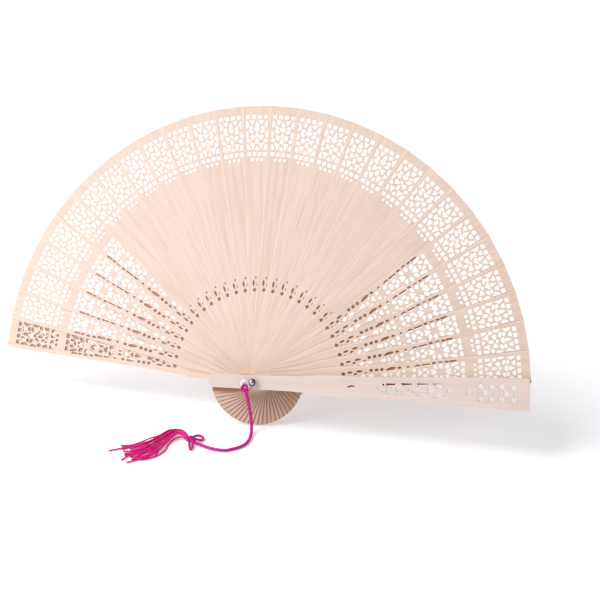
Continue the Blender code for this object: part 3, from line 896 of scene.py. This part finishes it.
def yarn_path(end, random):
    """The bundle's line, pushed across by the yarn's share of the half width, then eased out to its end."""
    across = np.gradient(BUNDLE[:, :2], axis=0)
    across = np.column_stack([-across[:, 1], across[:, 0]]) / np.linalg.norm(across, axis=1, keepdims=True)
    order = (end[0] + 59.0) * 0.55 - (end[1] + 77.0) * 0.83
    share = np.clip((order + 8.5) / 12.5, -1.0, 0.72) * np.linspace(0.7, 1.0, len(BUNDLE))
    share += random.uniform(-0.25, 0.15)
    middle = BUNDLE.copy()
    middle[:, :2] += across * (share * BUNDLE_HALF_WIDTH)[:, None]
    lift = random.uniform(-1.0, 1.0)
    middle[:, 2] = SURFACE + np.clip(middle[:, 2] + lift * 1.2, 0.75, 4.2)
    last = middle[-1]
    span = np.array(end) - last[:2]
    bend = np.array([-span[1], span[0]]) * random.uniform(-0.2, 0.2)
    middle[3:, :2] += random.uniform(-0.7, 0.7, (len(BUNDLE) - 3, 2))
    half_way = [*(last[:2] + 0.5 * span + bend), SURFACE + 0.9 + 0.5 * max(lift, 0)]
    return np.vstack([middle, half_way, [*end, SURFACE + 0.7]])


chance = np.random.default_rng(11)
yarns = []
for end in YARN_ENDS:
    path = smooth_path(yarn_path(end, chance), 150)
    yarns.append(tube_points(path, YARN_RADIUS, 10, twisted(3, YARN_PITCH, 0.25)))
loose_loop = [
    (-39.4, -47.6, SURFACE + 1.4), (-44.0, -46.0, SURFACE + 2.0), (-48.0, -49.4, SURFACE + 1.4),
    (-49.6, -56.6, SURFACE + 0.8), (-49.4, -65.0, SURFACE + 0.7), (-51.6, -72.8, SURFACE + 0.7),
    (-56.4, -79.2, SURFACE + 0.7), (-61.0, -82.4, SURFACE + 0.8), (-64.6, -82.8, SURFACE + 1.2),
]
yarns.append(tube_points(smooth_path(loose_loop, 150), YARN_RADIUS, 10, twisted(3, YARN_PITCH, 0.25)))
tassel = tube_object("tassel_yarns", yarns)
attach(tassel, "front_guard")
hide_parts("tassel")
print("yarns", len(yarns))

# %% [markdown]
# ## Parts of a material
#
# Wood, metal and satin are all built from a few nodes: a noise stretched along the grain, a little
# arithmetic, a rise between two values, a colour ramp and a bump. Each gets a short helper, so a material
# reads as a recipe.

# %% Helpers for materials
def new_material(name):
    """An empty material with its nodes and links at hand."""
    made = bpy.data.materials.new(name)
    made.use_nodes = True
    return made, made.node_tree.nodes, made.node_tree.links


def stretched_noise(nodes, links, source, stretch, scale, detail, wander=0.0):
    """Noise on a place multiplied by the stretch: the larger the number, the finer the grain that way."""
    mapping = nodes.new("ShaderNodeMapping")
    mapping.inputs["Scale"].default_value = (*stretch, 1.0)
    links.new(source, mapping.inputs["Vector"])
    noise = nodes.new("ShaderNodeTexNoise")
    noise.inputs["Scale"].default_value = scale
    noise.inputs["Detail"].default_value = detail
    noise.inputs["Distortion"].default_value = wander
    links.new(mapping.outputs["Vector"], noise.inputs["Vector"])
    return noise.outputs["Fac"]


def worked_out(nodes, links, operation, *values):
    """A Math node's result; each value is a number or another node's output."""
    node = nodes.new("ShaderNodeMath")
    node.operation = operation
    for socket, value in zip(node.inputs, values):
        if isinstance(value, float):
            socket.default_value = value
        else:
            links.new(value, socket)
    return node.outputs[0]


def risen(nodes, links, value, low, high, top=1.0, smooth=True):
    """0 below low and top above high, with a smooth or straight rise between; high may be the lower one."""
    node = nodes.new("ShaderNodeMapRange")
    if smooth:
        node.interpolation_type = "SMOOTHSTEP"
    node.inputs["From Min"].default_value = low
    node.inputs["From Max"].default_value = high
    node.inputs["To Max"].default_value = top
    links.new(value, node.inputs["Value"])
    return node.outputs["Result"]


def piece_number(nodes, label):
    """The number of that name which each blade carries."""
    node = nodes.new("ShaderNodeAttribute")
    node.attribute_name = label
    return node.outputs["Fac"]


def mixed_colour(nodes, links, share, start, end):
    """The start colour, three numbers or an output, with the end colour laid over it by the share."""
    node = nodes.new("ShaderNodeMix")
    node.data_type = "RGBA"
    links.new(share, node.inputs["Factor"])
    if isinstance(start, tuple):
        node.inputs["A"].default_value = (*start, 1.0)
    else:
        links.new(start, node.inputs["A"])
    node.inputs["B"].default_value = (*end, 1.0)
    return node.outputs["Result"]


def coloured_by(nodes, links, value, stops):
    """A colour ramp: each stop is a position and a colour, and the value picks between them."""
    ramp = nodes.new("ShaderNodeValToRGB")
    while len(ramp.color_ramp.elements) < len(stops):
        ramp.color_ramp.elements.new(1.0)
    for element, (position, colour) in zip(ramp.color_ramp.elements, stops):
        element.position = position
        element.color = (*colour, 1.0)
    links.new(value, ramp.inputs["Fac"])
    return ramp.outputs["Color"]


def roughened(nodes, links, shader, height, strength):
    """A bump of a tenth of a millimetre from the height, on the shader."""
    bump = nodes.new("ShaderNodeBump")
    bump.inputs["Strength"].default_value = strength
    bump.inputs["Distance"].default_value = 0.1 * MM
    links.new(height, bump.inputs["Height"])
    links.new(bump.outputs["Normal"], shader.inputs["Normal"])


print("a colour ramp, a bump, a noise and five smaller helpers")

# %% [markdown]
# ### Painted shade where a blade is covered, and a painted highlight on its free edge
#
# Through the cuts the hidden face of the blade behind shows, and it lies in shade. The lamps here leave it
# too pale, so that shade is painted brown into the wood's colour, with a painted contact shadow along the
# edge of the blade in front and painted shade on the tails. Each blade has a UV map of the places on the
# blade in front, and one curve of the half width tells hidden wood from open wood. The same curve on the
# blade's own map gives a painted highlight, a thin pale line along the free edge where it catches the light.

# %% Painted shade and painted edge highlight
EDGE_LINE = 0.008
# Width of the painted contact shadow outside the blade in front.
CONTACT_SHADOW_WIDTH = 0.006
NECK_ENDS = 0.12
BEYOND_NECK = (0.3, 0.6)
# Where the painted dark line along the tail's edge lies.
TAIL_SHADE_LINE = (-0.078, -0.062)
TAIL_BEGINS = (-0.02, -0.10)
LENGTH_SPAN_MM = 200.0
WIDTH_SPAN_MM = 12.5


def within_edge(nodes, links, uv_map):
    """How far inside a stick's edge a place of that UV map is, half width(x) - y, and its x and y.

    The half width is a curve through the sticks' own stations, scaled to run from 0 to 1 both ways.
    """
    over = nodes.new("ShaderNodeUVMap")
    over.uv_map = uv_map
    place = nodes.new("ShaderNodeSeparateXYZ")
    links.new(over.outputs["UV"], place.inputs["Vector"])
    width = nodes.new("ShaderNodeFloatCurve")
    curve = width.mapping.curves[0]
    curve.points[0].location = (0.0, STICK_STATIONS[0][1] / WIDTH_SPAN_MM)
    curve.points[1].location = (1.0, STICK_STATIONS[-1][1] / WIDTH_SPAN_MM)
    for along, half_width in STICK_STATIONS[3:-1]:
        curve.points.new(along / LENGTH_SPAN_MM, half_width / WIDTH_SPAN_MM)
    for point in curve.points:
        point.handle_type = "VECTOR"
    width.mapping.update()
    share = worked_out(nodes, links, "MULTIPLY", place.outputs["X"], SHEET_SIZE / (LENGTH_SPAN_MM * MM))
    links.new(share, width.inputs["Value"])
    edge = worked_out(nodes, links, "MULTIPLY", width.outputs[0], WIDTH_SPAN_MM * MM / SHEET_SIZE)
    inside = worked_out(nodes, links, "SUBTRACT", edge, place.outputs["Y"])
    return inside, place.outputs["X"], place.outputs["Y"]


def painted_edge_highlight(nodes, links):
    """1 on the thin line along the free side, a painted highlight where the edge catches the light, and 0
    elsewhere.
    """
    inside, along, _ = within_edge(nodes, links, "Place")
    line = risen(nodes, links, inside, EDGE_LINE, 0.0)
    beyond_neck = risen(nodes, links, along, *BEYOND_NECK, smooth=False)
    return worked_out(nodes, links, "MULTIPLY", line, beyond_neck)


def painted_shade_share(nodes, links):
    """1 where the blade in front covers this one: the place there is nearer its middle line than its edge.

    The share is painted shade. A thin soft edge outside the blade in front is a painted contact shadow. The
    tail gets painted shade as dark as the blade's number says, with a painted dark line along its edge.
    """
    inside, along, across = within_edge(nodes, links, "Cover")
    share = risen(nodes, links, inside, -CONTACT_SHADOW_WIDTH, CONTACT_SHADOW_WIDTH)
    past_neck = worked_out(nodes, links, "GREATER_THAN", along, NECK_ENDS)
    # A painted dark line along the tail's edge, and painted shade over the whole tail.
    line = risen(nodes, links, across, *TAIL_SHADE_LINE, top=0.96)
    tail_only = risen(nodes, links, along, *TAIL_BEGINS, smooth=False)
    darker = worked_out(nodes, links, "MAXIMUM", line, piece_number(nodes, "tail_shade_tone"))
    tail_share = worked_out(nodes, links, "MULTIPLY", darker, tail_only)
    # Painted shade on covered wood past the neck, as dark as the blade's number says.
    shade_on_covered = worked_out(nodes, links, "MULTIPLY", past_neck, piece_number(nodes, "covered_shade_tone"))
    return worked_out(nodes, links, "MULTIPLY_ADD", share, shade_on_covered, tail_share)


print("width curve with", len(STICK_STATIONS) - 2, "points")

# %% [markdown]
# ## Wood
#
# Pale planed wood with a fine grain that runs along each blade. The grain is a noise stretched far along the
# blade's own UV map, once coarse for broad bands and once fine for pores, and a low bump gives the pores
# depth. The painted shade and the painted edge highlight of the last step lie over it, and stay with the wood
# as the fan moves.

# %% Wood
# The brown is painted shade on covered wood, and the pale colour a painted highlight on the free edge.
PAINTED_SHADE_BROWN = (0.38, 0.16, 0.07)
PAINTED_EDGE_HIGHLIGHT = (0.98, 0.83, 0.71)


def wood_material(name, pale, dark, has_cover):
    """Grain from two stretched noises and the board's tone, with painted shade and a painted edge highlight
    over it.
    """
    made, nodes, links = new_material(name)
    shader = nodes["Principled BSDF"]
    grain_map = nodes.new("ShaderNodeUVMap")
    grain_map.uv_map = "UVMap"
    uv = grain_map.outputs["UV"]
    bands = stretched_noise(nodes, links, uv, (0.8, 13.0), 3.0, 4.0, 0.7)
    pores = stretched_noise(nodes, links, uv, (3.0, 90.0), 4.0, 4.0)
    figure = worked_out(nodes, links, "MULTIPLY_ADD", pores, 0.5, bands)
    # The board tone darkens the sticks towards the right as painted shade, with a random tone of its own.
    toned = worked_out(nodes, links, "MULTIPLY_ADD", piece_number(nodes, "board_tone_and_shade"), 0.22, figure)
    colour = coloured_by(nodes, links, toned, ((0.6, dark), (1.0, pale)))
    if has_cover:
        # Painted shade in brown where the blade in front covers this one.
        colour = mixed_colour(nodes, links, painted_shade_share(nodes, links), colour, PAINTED_SHADE_BROWN)
        # A painted highlight: a pale line along the free edge, where it catches the light.
        colour = mixed_colour(nodes, links, painted_edge_highlight(nodes, links), colour, PAINTED_EDGE_HIGHLIGHT)
    links.new(colour, shader.inputs["Base Color"])
    shader.inputs["Roughness"].default_value = 0.55
    shader.inputs["Specular IOR Level"].default_value = 0.35
    roughened(nodes, links, shader, pores, 0.12)
    return made


stick_wood = wood_material("pale_stick_wood", (0.85, 0.665, 0.56), (0.75, 0.56, 0.455), True)
guard_wood = wood_material("pale_guard_wood", (0.80, 0.66, 0.61), (0.73, 0.58, 0.53), False)
rear_wood = wood_material("rear_guard_wood", (0.80, 0.66, 0.61), (0.73, 0.58, 0.53), True)
for piece in stick_pieces:
    piece.data.materials.clear()
    piece.data.materials.append(stick_wood)
for piece, wood in zip(guard_pieces, (guard_wood, rear_wood)):
    piece.data.materials.clear()
    piece.data.materials.append(wood)
print("wood on", len(stick_pieces) + len(guard_pieces), "blades")

# %% [markdown]
# ## Metal
#
# The rivet is polished, with a painted dark reflection towards its rim, and the eyelet is a brighter silver.
# The rim's tone follows the distance from the rivet's axis, the length of a cross product. A faint noise in
# the roughness breaks the reflections as handling does.

# %% Metal
def metal_material(name, colour, roughness, rim=None):
    """Metal whose roughness wanders by noise; a rim colour paints a dark reflection away from the rivet's
    axis.
    """
    made, nodes, links = new_material(name)
    shader = nodes["Principled BSDF"]
    shader.inputs["Metallic"].default_value = 1.0
    place = nodes.new("ShaderNodeTexCoord").outputs["Object"]
    wear = stretched_noise(nodes, links, place, (1.0, 1.0), 1800.0, 3.0)
    handled = nodes.new("ShaderNodeMapRange")
    handled.inputs["To Min"].default_value = roughness * 0.7
    handled.inputs["To Max"].default_value = roughness * 1.4
    links.new(wear, handled.inputs["Value"])
    links.new(handled.outputs["Result"], shader.inputs["Roughness"])
    if rim is None:
        shader.inputs["Base Color"].default_value = (*colour, 1.0)
        return made
    across = nodes.new("ShaderNodeVectorMath")
    across.operation = "CROSS_PRODUCT"
    links.new(place, across.inputs[0])
    across.inputs[1].default_value = AXIS
    distance = nodes.new("ShaderNodeVectorMath")
    distance.operation = "LENGTH"
    links.new(across.outputs[0], distance.inputs[0])
    # The rim colour is a painted dark reflection, stronger away from the axis.
    outward = risen(nodes, links, distance.outputs["Value"], 0.35 * head_radius, 0.75 * head_radius)
    links.new(mixed_colour(nodes, links, outward, colour, rim), shader.inputs["Base Color"])
    return made


# The dark rim colour is a painted reflection.
chrome = metal_material("polished_rivet", (0.62, 0.64, 0.68), 0.09, (0.10, 0.11, 0.14))
silver = metal_material("silver_eyelet", (0.95, 0.95, 0.95), 0.38)
rivet.data.materials.append(chrome)
cap.data.materials.append(chrome)
eyelet.data.materials.append(silver)
print("metal on 3 pieces")

# %% [markdown]
# ## Satin cord
#
# The cord is a glossy rayon in deep magenta. Its colour follows the plait, with painted shade between the
# threads and a painted glint on the highest, and a sheen lifts the edges as fibres do. The pattern runs along
# the UV map, so it follows the cord's bends.

# %% Satin
def thread_pattern(nodes, links, uv):
    """The plait's diamonds, cos(8 pi u - k v) cos(8 pi u + k v), times 0.3 and with noise added."""
    place = nodes.new("ShaderNodeSeparateXYZ")
    links.new(uv, place.inputs["Vector"])
    crossing = []
    for sign in (-1.0, 1.0):
        turn = worked_out(nodes, links, "MULTIPLY", place.outputs["Y"], sign * 2 * math.pi / CORD_PITCH)
        phase = worked_out(nodes, links, "MULTIPLY_ADD", place.outputs["X"], 8 * math.pi, turn)
        crossing.append(worked_out(nodes, links, "COSINE", phase))
    diamonds = worked_out(nodes, links, "MULTIPLY", *crossing)
    noise = stretched_noise(nodes, links, uv, (10.0, 1500.0), 1.0, 2.0)
    return worked_out(nodes, links, "MULTIPLY_ADD", diamonds, 0.3, noise)


def satin_material(name, thread_shade_colour, thread_lit_colour):
    """Painted shade between the threads, the lit colour on them and a painted glint on the highest."""
    made, nodes, links = new_material(name)
    shader = nodes["Principled BSDF"]
    threads = thread_pattern(nodes, links, nodes.new("ShaderNodeUVMap").outputs["UV"])
    # The ramp paints shade between the threads and a painted glint on the highest.
    colour = coloured_by(nodes, links, threads, ((0.3, thread_shade_colour), (0.7, thread_lit_colour), (0.84, (0.88, 0.18, 0.5))))
    links.new(colour, shader.inputs["Base Color"])
    shader.inputs["Roughness"].default_value = 0.42
    shader.inputs["Specular IOR Level"].default_value = 0.25
    shader.inputs["Sheen Weight"].default_value = 0.08
    shader.inputs["Sheen Roughness"].default_value = 0.4
    shader.inputs["Sheen Tint"].default_value = (1.0, 0.55, 0.8, 1.0)
    roughened(nodes, links, shader, threads, 0.3)
    return made


satin = satin_material("magenta_satin", (0.38, 0.0, 0.15), (0.76, 0.01, 0.37))
yarn_satin = satin_material("magenta_yarn", (0.58, 0.0, 0.15), (0.86, 0.0, 0.28))
for piece in (cord, hitch, bow):
    piece.data.materials.append(satin)
tassel.data.materials.append(yarn_satin)
print("satin on 4 pieces")

# %% [markdown]
# ## Floor and light
#
# The fan stands on a white table in an even white room. The table gives off a little light of its own, which
# keeps it white and its shadows pale.

# %% Floor
FLOOR_SIZE = 80.0
FLOOR_GAP_MM = 0.05


def floor_object(size, height):
    """A square of one face at the given height."""
    mesh = bpy.data.meshes.new("floor")
    half = size / 2
    corners = [(-half, -half, height), (half, -half, height), (half, half, height), (-half, half, height)]
    mesh.from_pydata(corners, [], [(0, 1, 2, 3)])
    return in_scene("floor", mesh)


floor = floor_object(FLOOR_SIZE, (SURFACE - FLOOR_GAP_MM) * MM)
white, white_nodes, _ = new_material("white_table")
table = white_nodes["Principled BSDF"].inputs
table["Base Color"].default_value = (0.93, 0.94, 0.98, 1.0)
table["Roughness"].default_value = 0.7
table["Specular IOR Level"].default_value = 0.2
table["Emission Color"].default_value = (1.0, 1.0, 1.0, 1.0)
table["Emission Strength"].default_value = 0.27
floor.data.materials.append(white)
print("floor at mm", round(SURFACE - FLOOR_GAP_MM, 2))

# %% [markdown]
# ### The lamps
#
# A wide sun stands for a large soft window at the upper left, and its wide angle softens the shadow on the
# right. A weak disk lamp low on the left lifts the near ends of the blades.

# %% Lights
world = bpy.data.worlds.new("white_room")
world.use_nodes = True
background = world.node_tree.nodes["Background"].inputs
background["Color"].default_value = (1.0, 1.0, 1.0, 1.0)
background["Strength"].default_value = 0.4
bpy.context.scene.world = world


def aimed_light(name, kind, place, target, power):
    """A lamp at the place that shines at the target; a lamp shines along its own -Z."""
    data = bpy.data.lights.new(name, kind)
    data.energy = power
    made = in_scene(name, data)
    way = np.array(target, float) - np.array(place, float)
    flat = math.hypot(way[0], way[1])
    made.location = place
    made.rotation_euler = (math.atan2(flat, -way[2]), 0.0, math.atan2(-way[0], way[1]))
    return made


key = aimed_light("key", "SUN", (-1.1, -0.3, 1.64), (0.0, 0.0, 0.0), 1.6)
key.data.angle = math.radians(32.0)
fill = aimed_light("left_fill", "AREA", (-0.7, -0.45, 0.4), (-0.05, 0.0, 0.06), 3.2)
fill.data.shape = "DISK"
fill.data.size = 0.5
print("lights", key.name, fill.name)
